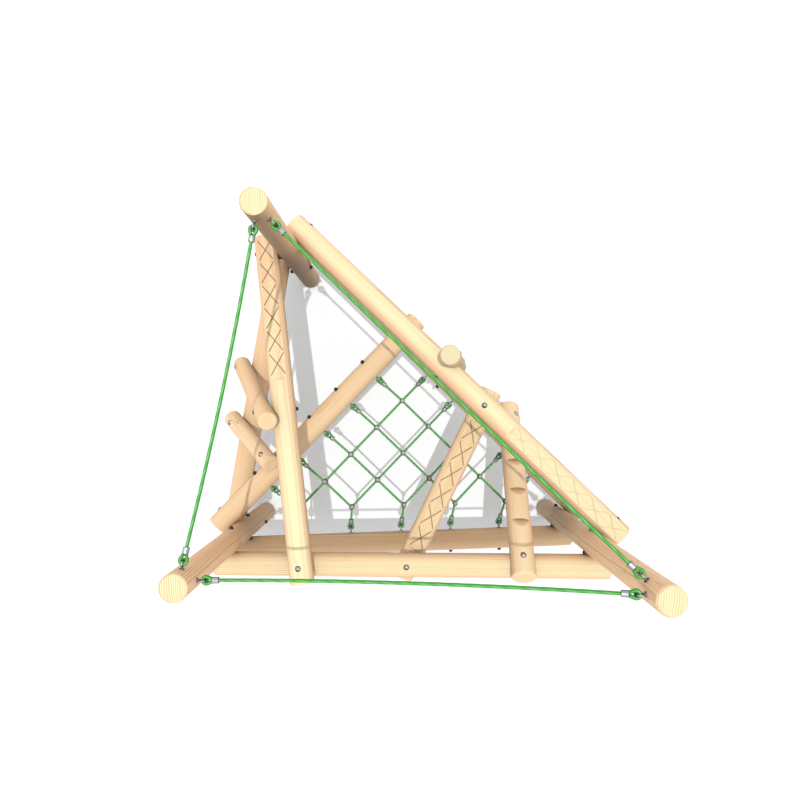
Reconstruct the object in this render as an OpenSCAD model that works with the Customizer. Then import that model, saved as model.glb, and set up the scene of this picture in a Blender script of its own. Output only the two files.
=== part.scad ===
// Triangular log climbing frame: three round posts, beams bolted to their outer sides,
// leaning and bridging logs, three hand ropes and a climbing net.
// The origin is the centre of the foot of the front left post. The front side runs along +X,
// the back post lies towards +Y, and the frame stands on the ground plane z = 0.

/* [Posts] */
// Diameter of the posts
post_d = 140; // [120:1:160]
// Distance between the two front posts
front_bay = 2194; // [2100:1:2300]
// Place of the back post along the front side
back_post_x = 375; // [330:1:420]
// Distance of the back post behind the front side
back_post_y = 1821; // [1750:1:1900]
// Height of the front left post
left_post_h = 2020; // [1980:1:2200]
// Height of the front right post
right_post_h = 2295; // [2250:1:2450]
// Height of the back post
back_post_h = 1930; // [1890:1:2100]

/* [Beams] */
// Diameter of the beams and of the large crossing logs
log_d = 145; // [135:1:155]
// Rounding of every log end
end_round = 12; // [4:1:20]
// Length of a beam past the centre of its post
beam_overhang = 95; // [85:1:130]
// Depth of the shallow seat that a beam has for its post
post_seat = 2; // [1:0.5:8]
// Gap between a seat or saddle and the log that lies in it
seat_gap = 0.2; // [0.1:0.05:0.4]
// Height of the upper front beam at the left post
upper_front_left_z = 1028; // [1010:1:1050]
// Height of the upper front beam at the right post
upper_front_right_z = 1211; // [1190:1:1230]
// Height of the lower front beam at the left post
lower_front_left_z = 600; // [585:1:615]
// Height of the lower front beam at the right post
lower_front_right_z = 365; // [350:1:380]
// Height of the upper right beam at the back post
upper_right_back_z = 965; // [955:1:980]
// Height of the upper right beam at the front right post
upper_right_front_z = 1213; // [1195:1:1230]
// Height of the lower right beam at the back post
lower_right_back_z = 530; // [520:1:540]
// Height of the lower right beam at the front right post
lower_right_front_z = 425; // [418:1:432]
// Height of the left beam at the back post
left_back_z = 520; // [505:1:530]
// Height of the left beam at the front left post
left_front_z = 370; // [355:1:385]

/* [Walking log] */
// Height at which the walking log meets the back post
walk_post_z = 950; // [930:1:970]
// Distance of the walking log from the left post, along the upper front beam
walk_front_x = 474; // [440:1:510]
// Depth of the walking log's saddle over the upper front beam
walk_saddle = 6; // [2:0.5:20]
// Length of the walking log past the back post
walk_back_end = 100; // [70:1:120]
// Length of the walking log past the upper front beam
walk_front_end = 96; // [80:1:120]
// Length of the flat on the walking log, from its back end
walk_flat = 935; // [500:1:1200]

/* [Bridge log] */
// Distance of the bridge log from the right post, along the upper right beam
bridge_right_x = 1017; // [980:1:1050]
// Distance of the bridge log from the left post, along the upper front beam
bridge_front_x = 1095; // [1070:1:1120]
// Depth of the saddles with which the bridge log hangs under both beams
bridge_saddle = 5; // [2:0.5:15]
// Length of the bridge log past each beam
bridge_end = 112; // [90:1:130]

/* [Ladder log] */
// Distance of the ladder log from the right post, along the lower right beam
ladder_foot_x = 772; // [750:1:790]
// Distance of the ladder log from the left post, along the upper front beam
ladder_front_x = 1778; // [1750:1:1800]
// Depth of the small saddle at the foot of the ladder log
ladder_foot_saddle = 3; // [2:0.5:10]
// Depth of the birdsmouth that hooks the ladder log over the upper front beam
ladder_saddle = 72; // [60:1:76]
// Length of the ladder log past the lower right beam
ladder_foot_end = 108; // [90:1:130]
// Length of the ladder log past the upper front beam
ladder_top_end = 112; // [95:1:140]
// Depth of a foot notch
notch_depth = 24; // [10:1:30]
// Length of the slope that runs out of a foot notch
notch_slope = 52; // [30:1:80]
// Distance from the birdsmouth to the nearest foot notch
notch_first = 239; // [230:1:250]
// Spacing of the foot notches
notch_pitch = 219; // [150:1:226]
// Number of foot notches
notch_count = 3; // [1:1:4]

/* [Net log] */
// Height at which the net log meets the front left post
net_log_post_z = 735; // [715:1:755]
// Distance of the net log from the back post, along the lower right beam
net_log_back_x = 862; // [840:1:880]
// Depth of the net log's saddle over the lower right beam
net_log_saddle = 50; // [40:1:62]
// Length of the net log past the front left post
net_log_front_end = 90; // [80:1:110]
// Length of the net log past the lower right beam
net_log_back_end = 138; // [110:1:150]

/* [Leaning poles] */
// Diameter of the three leaning poles
pole_d = 116; // [106:1:122]
// Place of the tall pole on the left beam, from the back post
tall_pole_low = 785; // [760:1:810]
// Place of the tall pole on the walking log, from its back end
tall_pole_high = 1110; // [1080:1:1140]
// Length of the tall pole below the left beam
tall_pole_foot = 85; // [70:1:110]
// Length of the tall pole above the walking log
tall_pole_top = 152; // [120:1:180]
// Place of the low pole on the left beam, from the back post
low_pole_low = 1170; // [1150:1:1190]
// Place of the low pole on the net log, from the front left post
low_pole_high = 465; // [452:1:478]
// Length of the low pole past the left beam
low_pole_foot = 78; // [70:1:130]
// Length of the low pole past the net log
low_pole_top = 80; // [70:1:120]
// Place of the right pole on the upper right beam, from the back post
right_pole_high = 1226; // [1200:1:1240]
// Place of the right pole on the lower right beam, from the back post
right_pole_low = 1290; // [1275:1:1310]
// Depth of the right pole's saddle against the upper right beam
right_pole_saddle = 56; // [30:1:58]
// Length of the right pole above the upper right beam
right_pole_top = 325; // [250:1:360]
// Length of the right pole below the lower right beam
right_pole_foot = 75; // [65:1:110]
// Depth of the seats of the leaning poles
pole_seat = 3; // [1:0.5:8]

/* [Anti-slip flats] */
// Depth of the planed flats on top of logs
flat_depth = 16; // [8:1:22]
// Length of the flat at the right end of the upper right beam
beam_flat = 900; // [500:1:1000]
// Spacing of the crossed grooves
cross_pitch = 146; // [120:1:180]
// Angle of the crossed grooves to the log
cross_angle = 34; // [25:1:45]
// Width of a groove
groove_w = 4; // [2:0.5:6]
// Depth of a groove
groove_depth = 3; // [1:0.5:5]

/* [Bolts] */
// Diameter of the bolts and eye bolts
bolt_d = 12; // [8:1:14]
// Gap between a bolt and its bore, on each side
bolt_gap = 0.5; // [0.3:0.1:1]
// Diameter of the domed bolt heads
head_d = 34; // [26:1:36]
// Height of the domed bolt heads
head_h = 11; // [6:1:14]
// Diameter of the domed cap nuts
nut_d = 26; // [22:1:30]
// Height of the domed cap nuts
nut_h = 20; // [16:1:24]
// Depth to which a bolt reaches into its cap nut
nut_grip = 12; // [8:1:14]
// Distance that the bolts of the two sides keep from the beam's centre line
bolt_shift = 16; // [12:1:20]

/* [Rope ends] */
// Diameter of the hand ropes
hand_rope_d = 16; // [12:1:18]
// Diameter of the net rope
net_rope_d = 16; // [14:1:18]
// Wire diameter of the eye of an eye bolt
eye_wire_d = 8; // [6:0.5:9]
// Radius of the eye, to the middle of its wire
eye_r = 18; // [17:0.5:20]
// Width of the collar of an eye bolt
collar_d = 26; // [22:1:30]
// Thickness of the collar
collar_h = 4; // [3:0.5:6]
// Radius of the hole in a thimble
thimble_hole_r = 6.5; // [5.5:0.5:9]
// Wall of a thimble
thimble_wall = 2; // [1:0.5:3]
// Length of the ferrules of the hand ropes
hand_ferrule_l = 32; // [24:1:40]
// Length of the ferrules of the net
net_ferrule_l = 26; // [20:1:32]

/* [Hand ropes] */
// Sag of the hand ropes at the middle
rope_sag = 58; // [20:1:90]
// Height of the left rope at the back post
left_rope_back_z = 1831; // [1815:1:1845]
// Height of the left rope at the front left post
left_rope_front_z = 1934; // [1920:1:1950]
// Height of the right rope at the back post
right_rope_back_z = 1790; // [1775:1:1805]
// Height of the right rope at the front right post
right_rope_front_z = 2146; // [2130:1:2160]
// Height of the front rope at the front left post
front_rope_left_z = 1884; // [1870:1:1896]
// Height of the front rope at the front right post
front_rope_right_z = 2187; // [2175:1:2200]

/* [Net] */
// Spacing of the net's knots, seen from above
net_pitch = 258; // [250:1:262]
// Number of knots along each side of the net
net_rows = 5; // [3:1:5]
// Distance from the net log to the first knots
net_log_border = 312; // [302:1:322]
// Distance from the lower right beam to the first knots
net_beam_border = 333; // [323:1:343]
// Height of the knot nearest the crossing of the net log and the lower right beam
net_z = 522; // [512:1:532]
// Rise of the net from knot to knot along the net log
net_rise = 22; // [18:1:26]
// Fall of the net from knot to knot along the lower right beam
net_fall = 22; // [18:1:26]
// Tilt of the eye bolts of the net log below level
net_eye_tilt = 30; // [20:1:38]
// Place of the first eye bolt on the lower front beam
front_eye_x = 355; // [345:1:365]
// Spacing of the eye bolts on the lower front beam
front_eye_pitch = 352.5; // [348:0.5:357]
// Diameter of the clamps at the knots
clamp_d = 36; // [34:1:42]
// Wall of a clamp above and below the ropes
clamp_wall = 3; // [2:0.5:5]
// Gap between the net rope and the bores of a clamp
clamp_gap = 0.8; // [0.6:0.1:1.2]

/* [Hidden] */

$fn = 48;
wood = [0.93, 0.76, 0.55];
pale_wood = [0.97, 0.87, 0.66];
green = [0.25, 0.62, 0.25];
dark_green = [0.16, 0.45, 0.24];
steel = [0.75, 0.76, 0.78];

post_r = post_d / 2;
log_r = log_d / 2;
pole_r = pole_d / 2;
// Centre distance of a beam and its post
beam_offset = post_r + log_r - post_seat;
// Width of the round spot faces under heads and nuts
head_spot_r = head_d / 2 + 1.5;
nut_spot_r = nut_d / 2 + 1.5;
// Reach of the cutters beyond the surface that they cut
reach = 60;
// Sides of a rope's tube, and steps along a hand rope
tube_sides = 8;
rope_rings = 24;
// Steps round a thimble
loop_steps = 10;

up = [0, 0, 1];
left_post = [0, 0, 0];
right_post = [front_bay, 0, 0];
back_post_foot = [back_post_x, back_post_y, 0];

// ---- points, directions and placing ----
function unit(v) = v / norm(v);
function flat(v) = [v.x, v.y, 0];
// Direction square to u that lies nearest to v
function square_to(u, v) = unit(v - (v * u) * u);
// A log is [start, end, radius]; its points are counted in millimetres from its start
function log_dir(l) = unit(l[1] - l[0]);
function log_at(l, t) = l[0] + t * log_dir(l);
// Placing matrix with its z axis along z and its x axis near x
function place(p, z, x) =
    let (w = unit(z), u = square_to(w, x), v = cross(w, u))
    [[u.x, v.x, w.x, p.x], [u.y, v.y, w.y, p.y], [u.z, v.z, w.z, p.z], [0, 0, 0, 1]];
function side_of(v) = abs(v.z) > 0.9 * norm(v) ? [1, 0, 0] : up;
// Distance from a log's centre at which a round spot face of this radius is whole
function spot_seat(r, spot_r, shift) = sqrt(r * r - pow(spot_r + shift, 2)) - 0.5;

module rod(a, b, r) {
    multmatrix(place(a, b - a, side_of(b - a)))
        cylinder(h = norm(b - a), r = r);
}

// A round log with rounded ends
module log(l, grow = 0) {
    r = l[2] + grow;
    len = norm(l[1] - l[0]);
    e = end_round;
    multmatrix(place(l[0], l[1] - l[0], side_of(l[1] - l[0])))
        rotate_extrude()
            polygon(concat(
                [[0, 0]],
                [for (a = [0 : 30 : 90]) [r - e + e * sin(a), e - e * cos(a)]],
                [for (a = [90 : -30 : 0]) [r - e + e * sin(a), len - e + e * cos(a)]],
                [[0, len]]
            ));
}

// The space that a neighbouring log needs in a saddle
module saddle_for(l) {
    d = log_dir(l);
    rod(l[0] - d * reach, l[1] + d * reach, l[2] + seat_gap);
}

// ---- where the logs lie ----
// A beam on the outer side of two posts, at heights za and zb
function beam(a, b, za, zb) =
    let (
        d = unit(b - a),
        out = [d.y, -d.x, 0],
        rise = (zb - za) / norm(b - a),
        from = a + out * beam_offset + up * za,
        step = d + up * rise
    )
    [from - step * beam_overhang, from + step * (norm(b - a) + beam_overhang), log_r];

// A log of radius r that lies against two others: against log a at the point ta and against
// log b at the point tb, on the side of the hint. It is let in by a saddle at each.
function span_dir(a, ta, b, tb, da, db, ha, hb, w, turns) =
    turns == 0 ? w : let (
        ua = contact(log_dir(a), w, ha),
        ub = contact(log_dir(b), w, hb),
        next = unit(log_at(b, tb) + ub * db - log_at(a, ta) - ua * da)
    ) span_dir(a, ta, b, tb, da, db, ha, hb, next, turns - 1);
function contact(d, w, hint) = let (c = unit(cross(d, w))) c * hint < 0 ? -c : c;
function span(a, ta, b, tb, r, sa, sb, ha, hb, ea, eb) =
    let (
        da = a[2] + r - sa,
        db = b[2] + r - sb,
        w = span_dir(a, ta, b, tb, da, db, ha, hb, unit(log_at(b, tb) - log_at(a, ta)), 8),
        pa = log_at(a, ta) + contact(log_dir(a), w, ha) * da,
        pb = log_at(b, tb) + contact(log_dir(b), w, hb) * db
    )
    [pa - w * ea, pb + w * eb, r];

front_left = [left_post, left_post + up * left_post_h, post_r];
front_right = [right_post, right_post + up * right_post_h, post_r];
back = [back_post_foot, back_post_foot + up * back_post_h, post_r];

upper_front = beam(left_post, right_post, upper_front_left_z, upper_front_right_z);
lower_front = beam(left_post, right_post, lower_front_left_z, lower_front_right_z);
upper_right = beam(right_post, back_post_foot, upper_right_front_z, upper_right_back_z);
lower_right = beam(right_post, back_post_foot, lower_right_front_z, lower_right_back_z);
left_side = beam(back_post_foot, left_post, left_back_z, left_front_z);

// Points on a beam that lie t from the centre of its start post or its end post, seen from above
function from_start(l, t) = (beam_overhang + t) / norm(flat(log_dir(l)));
function from_end(l, t) = norm(l[1] - l[0]) - from_start(l, t);

walk = span(
    back, walk_post_z, upper_front, from_start(upper_front, walk_front_x), log_r,
    post_seat, walk_saddle, [-1, 0, 0], up, walk_back_end, walk_front_end
);
bridge = span(
    upper_right, from_start(upper_right, bridge_right_x),
    upper_front, from_start(upper_front, bridge_front_x), log_r,
    bridge_saddle, bridge_saddle, -up, -up, bridge_end, bridge_end
);
ladder = span(
    lower_right, from_start(lower_right, ladder_foot_x),
    upper_front, from_start(upper_front, ladder_front_x), log_r,
    ladder_foot_saddle, ladder_saddle, up, up, ladder_foot_end, ladder_top_end
);
net_side = span(
    front_left, net_log_post_z, lower_right, from_end(lower_right, net_log_back_x), log_r,
    post_seat, net_log_saddle, [-1, 1, 0], up, net_log_front_end, net_log_back_end
);
tall_pole = span(
    left_side, from_start(left_side, tall_pole_low), walk, tall_pole_high, pole_r,
    pole_seat, pole_seat, [-1, 0, 0], [-1, 0, 0], tall_pole_foot, tall_pole_top
);
low_pole = span(
    left_side, from_start(left_side, low_pole_low),
    net_side, net_log_front_end + low_pole_high, pole_r,
    pole_seat, pole_seat, up, up, low_pole_foot, low_pole_top
);
right_pole = span(
    lower_right, from_end(lower_right, right_pole_low),
    upper_right, from_end(upper_right, right_pole_high), pole_r,
    pole_seat, right_pole_saddle, [1, 1, 0], [1, 1, 0], right_pole_foot, right_pole_top
);

// ---- where the bolts lie ----
// A bolt is [seat of its head, seat of its nut, whether it has a nut]
function post_bolt(l, post, shift) =
    let (
        level = log_at(l, nearest_flat(l, post[0])),
        out = unit(flat(level - post[0])),
        z = level.z + shift
    )
    [
        flat(level) + up * z + out * spot_seat(l[2], head_spot_r, abs(shift)),
        flat(post[0]) + up * z - out * spot_seat(post[2], nut_spot_r, 0),
        true
    ];
// Point of a sloping log that lies nearest to a vertical post
function nearest_flat(l, p) =
    let (d = log_dir(l), h = flat(d))
    (flat(p - l[0]) * h) / (h * h);

// A bolt through log a and log b, square to both, with its head on log a. Without a nut it is a
// screw that ends inside log b, this far past its centre.
screw_past = 20;
function cross_bolt(a, b, has_nut = true) =
    let (
        n = unit(cross(log_dir(a), log_dir(b))),
        gap = (b[0] - a[0]) * n,
        u = gap < 0 ? -n : n,
        m = cross(log_dir(b), u),
        ta = ((b[0] - a[0]) * m) / (log_dir(a) * m),
        pa = log_at(a, ta)
    )
    [
        pa - u * spot_seat(a[2], head_spot_r, 0),
        pa + u * (abs(gap) + (has_nut ? spot_seat(b[2], nut_spot_r, 0) : screw_past)),
        has_nut
    ];

upper_front_left_bolt = post_bolt(upper_front, front_left, -bolt_shift);
upper_front_right_bolt = post_bolt(upper_front, front_right, -bolt_shift);
lower_front_left_bolt = post_bolt(lower_front, front_left, -bolt_shift);
lower_front_right_bolt = post_bolt(lower_front, front_right, -bolt_shift);
upper_right_back_bolt = post_bolt(upper_right, back, bolt_shift);
upper_right_front_bolt = post_bolt(upper_right, front_right, bolt_shift);
lower_right_back_bolt = post_bolt(lower_right, back, bolt_shift);
lower_right_front_bolt = post_bolt(lower_right, front_right, bolt_shift);
left_back_bolt = post_bolt(left_side, back, -bolt_shift);
left_front_bolt = post_bolt(left_side, front_left, -bolt_shift);
post_bolt_list = [
    upper_front_left_bolt, upper_front_right_bolt, lower_front_left_bolt,
    lower_front_right_bolt, upper_right_back_bolt, upper_right_front_bolt,
    lower_right_back_bolt, lower_right_front_bolt, left_back_bolt, left_front_bolt
];

// No nut fits between the back post and the upper right beam
walk_back_bolt = cross_bolt(walk, back, false);
walk_front_bolt = cross_bolt(walk, upper_front);
bridge_right_bolt = cross_bolt(upper_right, bridge);
bridge_front_bolt = cross_bolt(upper_front, bridge);
ladder_foot_bolt = cross_bolt(ladder, lower_right);
ladder_front_bolt = cross_bolt(ladder, upper_front);
net_log_post_bolt = cross_bolt(net_side, front_left);
net_log_back_bolt = cross_bolt(net_side, lower_right);
tall_pole_low_bolt = cross_bolt(tall_pole, left_side);
tall_pole_high_bolt = cross_bolt(tall_pole, walk);
low_pole_low_bolt = cross_bolt(low_pole, left_side);
low_pole_high_bolt = cross_bolt(low_pole, net_side);
right_pole_low_bolt = cross_bolt(right_pole, lower_right);
right_pole_high_bolt = cross_bolt(right_pole, upper_right);
log_bolt_list = [
    walk_back_bolt, walk_front_bolt, bridge_right_bolt, bridge_front_bolt,
    ladder_foot_bolt, ladder_front_bolt, net_log_post_bolt, net_log_back_bolt,
    tall_pole_low_bolt, tall_pole_high_bolt, low_pole_low_bolt, low_pole_high_bolt,
    right_pole_low_bolt, right_pole_high_bolt
];

// ---- where the ropes end ----
// Distance from a log's centre to the seat of an eye bolt's collar, to its eye and to the
// middle of the thimble that hangs in it
collar_spot_r = collar_d / 2 + 1.5;
function collar_seat(r) = spot_seat(r, collar_spot_r, 0);
function eye_centre(r) = collar_seat(r) + collar_h + 2 + eye_r + eye_wire_d / 2;
function thimble_half(rope_r) = 0.75 * rope_r;
// A rope that leaves the eye at an angle tips its thimble until a rim meets the wire
function thimble_centre(r, rope_r, tip) =
    let (
        rim = thimble_half(rope_r) * cos(tip) + thimble_hole_r * sin(tip),
        inner = eye_r - eye_wire_d / 2
    )
    eye_centre(r) + sqrt(inner * inner - rim * rim) - seat_gap
    + thimble_hole_r * cos(tip) - thimble_half(rope_r) * sin(tip);
function loop_r(rope_r) = thimble_hole_r + thimble_wall + rope_r;
// Distance from the middle of the thimble to the ferrule
function loop_l(rope_r) = loop_r(rope_r) + rope_r * 1.7;

hand_r = hand_rope_d / 2;
net_r = net_rope_d / 2;

// An eye bolt is [centre of the log, direction towards the eye, radius of the log]
function eye_bolt(p, d, r) = [p, unit(d), r];
function eye_nut_seat(e) = e[0] - e[1] * spot_seat(e[2], nut_spot_r, 0);
// The middle of the thimble in the eye bolt e, whose rope leaves along d
function thimble_at(e, rope_r, d) =
    let (tip = acos(min(1, square_to(e[1], up) * square_to(unit(d), up))))
    e[0] + e[1] * thimble_centre(e[2], rope_r, tip);

// A hand rope is the pair of its eye bolts
function hand_rope(a, b, za, zb) = [
    eye_bolt(flat(a) + up * za, flat(b - a), post_r),
    eye_bolt(flat(b) + up * zb, flat(a - b), post_r)
];
left_rope = hand_rope(back_post_foot, left_post, left_rope_back_z, left_rope_front_z);
right_rope = hand_rope(back_post_foot, right_post, right_rope_back_z, right_rope_front_z);
front_rope = hand_rope(left_post, right_post, front_rope_left_z, front_rope_right_z);
hand_rope_list = [left_rope, right_rope, front_rope];

// A hand rope hangs in a parabola from thimble to thimble; t runs from 0 to 1
function rope_leaves(rope, k) = rope[1 - k][0] - rope[k][0] - up * 4 * rope_sag;
function rope_point(rope, t) =
    let (
        a = thimble_at(rope[0], hand_r, rope_leaves(rope, 0)),
        b = thimble_at(rope[1], hand_r, rope_leaves(rope, 1))
    )
    a + (b - a) * t - up * 4 * rope_sag * t * (1 - t);
function rope_dir(rope, k) =
    unit(rope_point(rope, k == 0 ? 0.02 : 0.98) - rope_point(rope, k));
// A rope end is [middle of the thimble, direction of the rope, axis of the thimble]
function hand_end(rope, k) = [
    rope_point(rope, k), rope_dir(rope, k), square_to(rope_dir(rope, k), up)
];
hand_end_list = [for (rope = hand_rope_list) for (k = [0, 1]) hand_end(rope, k)];
hand_eye_list = [for (rope = hand_rope_list) for (k = [0, 1]) rope[k]];

// ---- where the net lies ----
net_u = unit(flat(net_side[0] - net_side[1]));
net_v = unit(flat(lower_right[0] - lower_right[1]));
net_corner = flat(log_at(net_side, norm(net_side[1] - net_side[0]) - net_log_back_end));
// Knot i along the net log and j along the lower right beam
function knot(i, j) =
    net_corner + net_u * (net_beam_border + i * net_pitch)
    + net_v * (net_log_border + j * net_pitch)
    + up * (net_z + i * net_rise - j * net_fall);

// Eye bolt on a log beside the point p, towards the side of the direction d, tilted down
function net_eye(l, p, d, tilt) =
    let (
        c = log_at(l, nearest_flat(l, p)),
        side = square_to(log_dir(l), d),
        over = square_to(log_dir(l), cross(log_dir(l), side))
    )
    eye_bolt(c, side * cos(tilt) - (over.z < 0 ? -over : over) * sin(tilt), l[2]);
left_eyes = [for (i = [0 : net_rows - 1]) net_eye(net_side, knot(i, 0), net_v, net_eye_tilt)];
right_eyes = [for (j = [0 : net_rows - 1]) net_eye(lower_right, knot(0, j), net_u, 0)];
front_eyes = [
    for (i = [0 : net_rows - 1])
        net_eye(lower_front, [front_eye_x + i * front_eye_pitch, 0, 0], [0, 1, 0], 0)
];
net_eye_list = concat(left_eyes, right_eyes, front_eyes);

// The knot that each eye's rope runs to first
left_knots = [for (i = [0 : net_rows - 1]) knot(i, 0)];
right_knots = [for (j = [0 : net_rows - 1]) knot(0, j)];
front_knots = [for (i = [0 : net_rows - 1]) knot(net_rows - 1 - i, i)];
net_knot_list = concat(left_knots, right_knots, front_knots);
// The ropes that start at the net log run over those that start at the lower right beam
layer = up * (net_r + 0.1);
function net_layer(n) = n < net_rows ? layer : -layer;
function net_end(n) =
    let (
        e = net_eye_list[n],
        to = net_knot_list[n] + net_layer(n),
        p = thimble_at(e, net_r, to - e[0] - e[1] * eye_centre(e[2])),
        d = unit(to - p)
    )
    [p, d, square_to(d, up)];
net_end_list = [for (n = [0 : len(net_eye_list) - 1]) net_end(n)];

// Far face of the ferrule, where the single rope starts
function ferrule_end(end, rope_r, ferrule_l) = end[0] + end[1] * (loop_l(rope_r) + ferrule_l);

// ---- cutters ----
module drill(bolts) {
    for (b = bolts) {
        u = unit(b[0] - b[1]);
        rod(b[0] + u * reach, b[1] - u * (b[2] ? reach : bolt_gap), bolt_d / 2 + bolt_gap);
        rod(b[0], b[0] + u * reach, head_spot_r);
        if (b[2])
            rod(b[1], b[1] - u * reach, nut_spot_r);
    }
}

module drill_eyes(eyes) {
    for (e = eyes) {
        seat = e[0] + e[1] * collar_seat(e[2]);
        nut = eye_nut_seat(e);
        rod(nut - e[1] * reach, seat + e[1] * reach, bolt_d / 2 + bolt_gap);
        rod(seat, seat + e[1] * reach, collar_spot_r);
        rod(nut, nut - e[1] * reach, nut_spot_r);
    }
}

// Planes a flat on top of a log from the point t0 to the point t1
module plane_flat(l, t0, t1) {
    multmatrix(place(log_at(l, t0), log_dir(l), up))
        translate([l[2] - flat_depth, -l[2] - reach, 0])
            cube([l[2] + reach, 2 * (l[2] + reach), t1 - t0]);
}

// Cuts crossed grooves into such a flat
module cross_grooves(l, t0, t1) {
    half_w = sqrt(pow(l[2], 2) - pow(l[2] - flat_depth, 2));
    count = floor((t1 - t0) / cross_pitch);
    first = t0 + (t1 - t0 - (count - 1) * cross_pitch) / 2;
    run = (cross_pitch - 8) / cos(cross_angle);
    for (k = [0 : count - 1])
        for (side = [-1, 1])
            multmatrix(place(log_at(l, first + k * cross_pitch), log_dir(l), up))
                translate([l[2] - flat_depth - groove_depth, 0, 0])
                    rotate([side * cross_angle, 0, 0])
                        translate([0, -groove_w / 2, -run / 2])
                            cube([groove_depth + reach, groove_w, run]);
}

// A foot notch: a cut square to the log, and a slope that runs out of it
module foot_notch(l, t) {
    out = 2;
    multmatrix(place(log_at(l, t), log_dir(l), up))
        rotate([90, 0, 0])
            translate([0, 0, -l[2] - reach])
                linear_extrude(2 * (l[2] + reach))
                    polygon([
                        [l[2] - notch_depth, 0],
                        [l[2] + notch_depth * (out - 1), 0],
                        [l[2] + notch_depth * (out - 1), notch_slope * out]
                    ]);
}

// ---- posts ----
module front_left_post() {
    color(wood) difference() {
        log(front_left);
        drill([
            upper_front_left_bolt, lower_front_left_bolt, left_front_bolt, net_log_post_bolt
        ]);
        drill_eyes([left_rope[1], front_rope[0]]);
    }
}

module front_right_post() {
    color(wood) difference() {
        log(front_right);
        drill([
            upper_front_right_bolt, lower_front_right_bolt,
            upper_right_front_bolt, lower_right_front_bolt
        ]);
        drill_eyes([right_rope[1], front_rope[1]]);
    }
}

module back_post() {
    color(wood) difference() {
        log(back);
        drill([upper_right_back_bolt, lower_right_back_bolt, left_back_bolt, walk_back_bolt]);
        drill_eyes([left_rope[0], right_rope[0]]);
    }
}

// ---- beams ----
module upper_front_beam() {
    color(pale_wood) difference() {
        log(upper_front);
        saddle_for(front_left);
        saddle_for(front_right);
        drill([
            upper_front_left_bolt, upper_front_right_bolt,
            walk_front_bolt, bridge_front_bolt, ladder_front_bolt
        ]);
    }
}

module lower_front_beam() {
    color(pale_wood) difference() {
        log(lower_front);
        saddle_for(front_left);
        saddle_for(front_right);
        drill([lower_front_left_bolt, lower_front_right_bolt]);
        drill_eyes(front_eyes);
    }
}

module upper_right_beam() {
    color(pale_wood) difference() {
        log(upper_right);
        saddle_for(front_right);
        saddle_for(back);
        plane_flat(upper_right, -end_round, beam_flat);
        cross_grooves(upper_right, 0, beam_flat);
        drill([
            upper_right_back_bolt, upper_right_front_bolt,
            bridge_right_bolt, right_pole_high_bolt
        ]);
    }
}

module lower_right_beam() {
    color(pale_wood) difference() {
        log(lower_right);
        saddle_for(front_right);
        saddle_for(back);
        drill([
            lower_right_back_bolt, lower_right_front_bolt,
            ladder_foot_bolt, net_log_back_bolt, right_pole_low_bolt
        ]);
        drill_eyes(right_eyes);
    }
}

module left_beam() {
    color(pale_wood) difference() {
        log(left_side);
        saddle_for(back);
        saddle_for(front_left);
        drill([left_back_bolt, left_front_bolt, tall_pole_low_bolt, low_pole_low_bolt]);
    }
}

// ---- crossing logs ----
module walking_log() {
    color(pale_wood) difference() {
        log(walk);
        saddle_for(back);
        saddle_for(upper_front);
        plane_flat(walk, -end_round, walk_flat);
        cross_grooves(walk, 0, walk_flat);
        drill([walk_back_bolt, walk_front_bolt, tall_pole_high_bolt]);
    }
}

module bridge_log() {
    len = norm(bridge[1] - bridge[0]);
    // The flat ends under the edge of each beam
    flat_end = bridge_end + log_r + 14;
    color(pale_wood) difference() {
        log(bridge);
        saddle_for(upper_right);
        saddle_for(upper_front);
        plane_flat(bridge, flat_end, len - flat_end);
        cross_grooves(bridge, flat_end, len - flat_end);
        drill([bridge_right_bolt, bridge_front_bolt]);
    }
}

module ladder_log() {
    top = norm(ladder[1] - ladder[0]) - ladder_top_end;
    color(pale_wood) difference() {
        log(ladder);
        saddle_for(lower_right);
        saddle_for(upper_front);
        for (k = [0 : notch_count - 1])
            foot_notch(ladder, top - notch_first - k * notch_pitch);
        drill([ladder_foot_bolt, ladder_front_bolt]);
    }
}

module net_log() {
    color(pale_wood) difference() {
        log(net_side);
        saddle_for(front_left);
        saddle_for(lower_right);
        drill([net_log_post_bolt, net_log_back_bolt, low_pole_high_bolt]);
        drill_eyes(left_eyes);
    }
}

module tall_leaning_pole() {
    color(wood) difference() {
        log(tall_pole);
        saddle_for(left_side);
        saddle_for(walk);
        drill([tall_pole_low_bolt, tall_pole_high_bolt]);
    }
}

module low_leaning_pole() {
    color(wood) difference() {
        log(low_pole);
        saddle_for(left_side);
        saddle_for(net_side);
        drill([low_pole_low_bolt, low_pole_high_bolt]);
    }
}

module right_leaning_pole() {
    color(wood) difference() {
        log(right_pole);
        saddle_for(lower_right);
        saddle_for(upper_right);
        drill([right_pole_low_bolt, right_pole_high_bolt]);
    }
}

// ---- bolts ----
// Seats lie this far off the wood
seat_air = 0.1;

// Round-headed bolt from its head's seat to its nut's seat
module bolt(b) {
    dome_r = (pow(head_d / 2, 2) + pow(head_h, 2)) / (2 * head_h);
    len = norm(b[0] - b[1]) + (b[2] ? nut_grip : 0);
    color(steel)
        multmatrix(place(b[0], b[0] - b[1], side_of(b[0] - b[1]))) {
            translate([0, 0, seat_air])
                intersection() {
                    translate([0, 0, head_h - dome_r])
                        sphere(dome_r);
                    cylinder(h = head_h + 1, r = head_d / 2 + 1);
                }
            translate([0, 0, -len])
                cylinder(h = len + seat_air + head_h / 3, r = bolt_d / 2);
        }
}

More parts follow.
